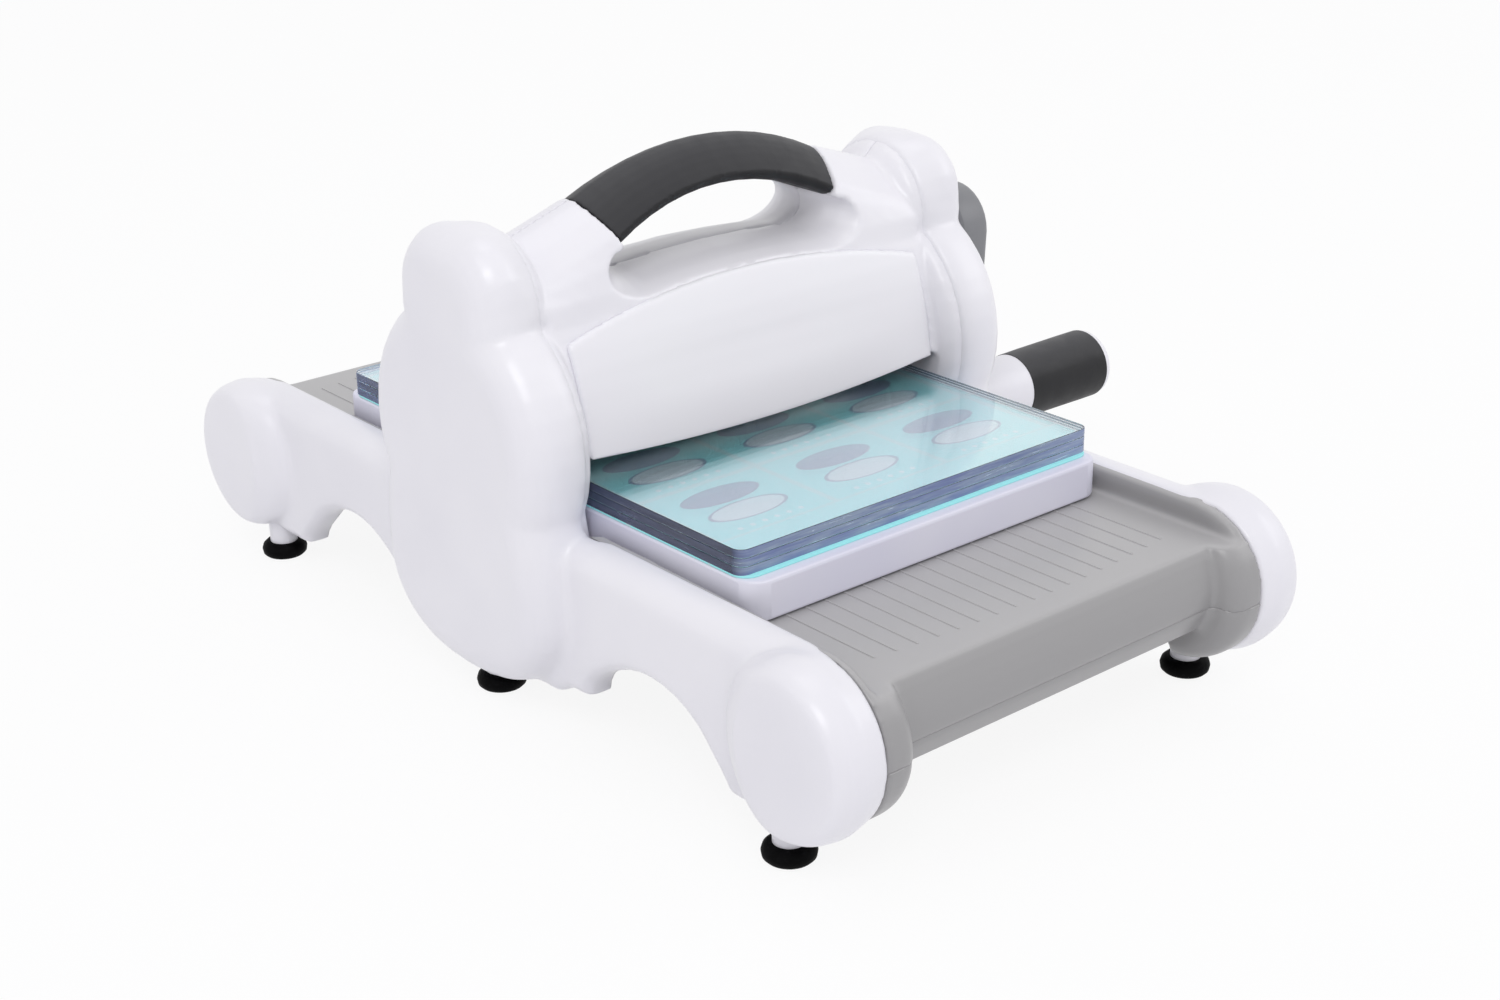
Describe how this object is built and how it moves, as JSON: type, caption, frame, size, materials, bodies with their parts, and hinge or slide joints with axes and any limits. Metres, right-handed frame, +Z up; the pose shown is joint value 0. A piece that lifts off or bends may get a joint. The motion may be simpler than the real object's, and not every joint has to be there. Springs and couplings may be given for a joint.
{
  "type": "manual die cutting machine",
  "caption": "Hand-cranked roller press for paper crafts, with a carry handle, two trays and a stack of plates that is fed between its rollers.",
  "frame": {"origin": "on the table, under the middle of the machine", "axes": "+X along the rollers towards the crank, -Y towards the front tray, +Z up"},
  "size_m": [0.315, 0.374, 0.1768],
  "materials": {
    "shell_white": "satin",
    "panel_white": "gloss",
    "tray_grey": "satin",
    "charcoal": "matte",
    "arm_grey": "satin",
    "steel": "brushed",
    "gear_nylon": "satin",
    "bronze": "satin",
    "bush_black": "matte",
    "rubber_black": "matte",
    "platform_white": "satin",
    "print_teal": "satin",
    "clear_pad": "clear"
  },
  "bodies": {
    "frame": {"side_shell_left": "shell_white", "side_shell_right": "shell_white", "housing_front": "shell_white", "housing_rear": "shell_white", "panel_front": "panel_white", "panel_rear": "panel_white", "handle_grip": "charcoal", "handle_core": "steel", "tray_front": "tray_grey", "tray_rear": "tray_grey", "tray_base_front": "tray_grey", "tray_base_rear": "tray_grey", "side_plate_left": "steel", "side_plate_right": "steel", "tie_rods": "steel", "tie_rod_screws": "steel", "roller_bushes": "bronze", "gear_stud": "steel", "crank_bush": "bush_black", "foot_stems": "shell_white", "foot_pads": "rubber_black", "foot_screws": "steel", "shell_screws": "steel"},
    "lower_roller": {"lower_roller": "steel", "lower_roller_gear": "steel", "drive_gear": "steel"},
    "upper_roller": {"upper_roller": "steel", "upper_roller_gear": "steel"},
    "reduction": {"reduction_gear": "gear_nylon"},
    "crank": {"crank_shaft": "steel", "crank_pinion": "steel", "crank_arm": "arm_grey", "hub_screw": "steel", "knob_spindle": "steel"},
    "knob": {"knob_collar": "shell_white", "knob_grip": "charcoal", "knob_cap": "shell_white"},
    "stack": {"platform": "platform_white", "printed_sheet": "print_teal", "lower_pad": "clear_pad", "middle_pad": "clear_pad", "upper_pad": "clear_pad"}
  },
  "joints": [
    {"name": "lower_roller_spin", "type": "hinge", "parent": "frame", "child": "lower_roller", "pos_m": [0, 0, 0.0435], "axis": [1, 0, 0], "continuous": true},
    {"name": "upper_roller_spin", "type": "hinge", "parent": "frame", "child": "upper_roller", "pos_m": [0, 0, 0.0997], "axis": [1, 0, 0], "continuous": true},
    {"name": "reduction_spin", "type": "hinge", "parent": "frame", "child": "reduction", "pos_m": [0.09, 0.00443, 0.08426], "axis": [1, 0, 0], "continuous": true},
    {"name": "crank_spin", "type": "hinge", "parent": "frame", "child": "crank", "pos_m": [0.09, 0, 0.122], "axis": [1, 0, 0], "continuous": true},
    {"name": "knob_spin", "type": "hinge", "parent": "crank", "child": "knob", "pos_m": [0.17, 0, 0.0472], "axis": [1, 0, 0], "continuous": true},
    {"name": "stack_feed", "type": "slide", "parent": "frame", "child": "stack", "axis": [0, 1, 0], "range_m": [-0.112, 0.117]}
  ],
  "couplings": [
    {"joint": "upper_roller_spin", "follows": "lower_roller_spin", "ratio": -1},
    {"joint": "reduction_spin", "follows": "lower_roller_spin", "ratio": -1.9286},
    {"joint": "crank_spin", "follows": "lower_roller_spin", "ratio": 3.3061}
  ]
}
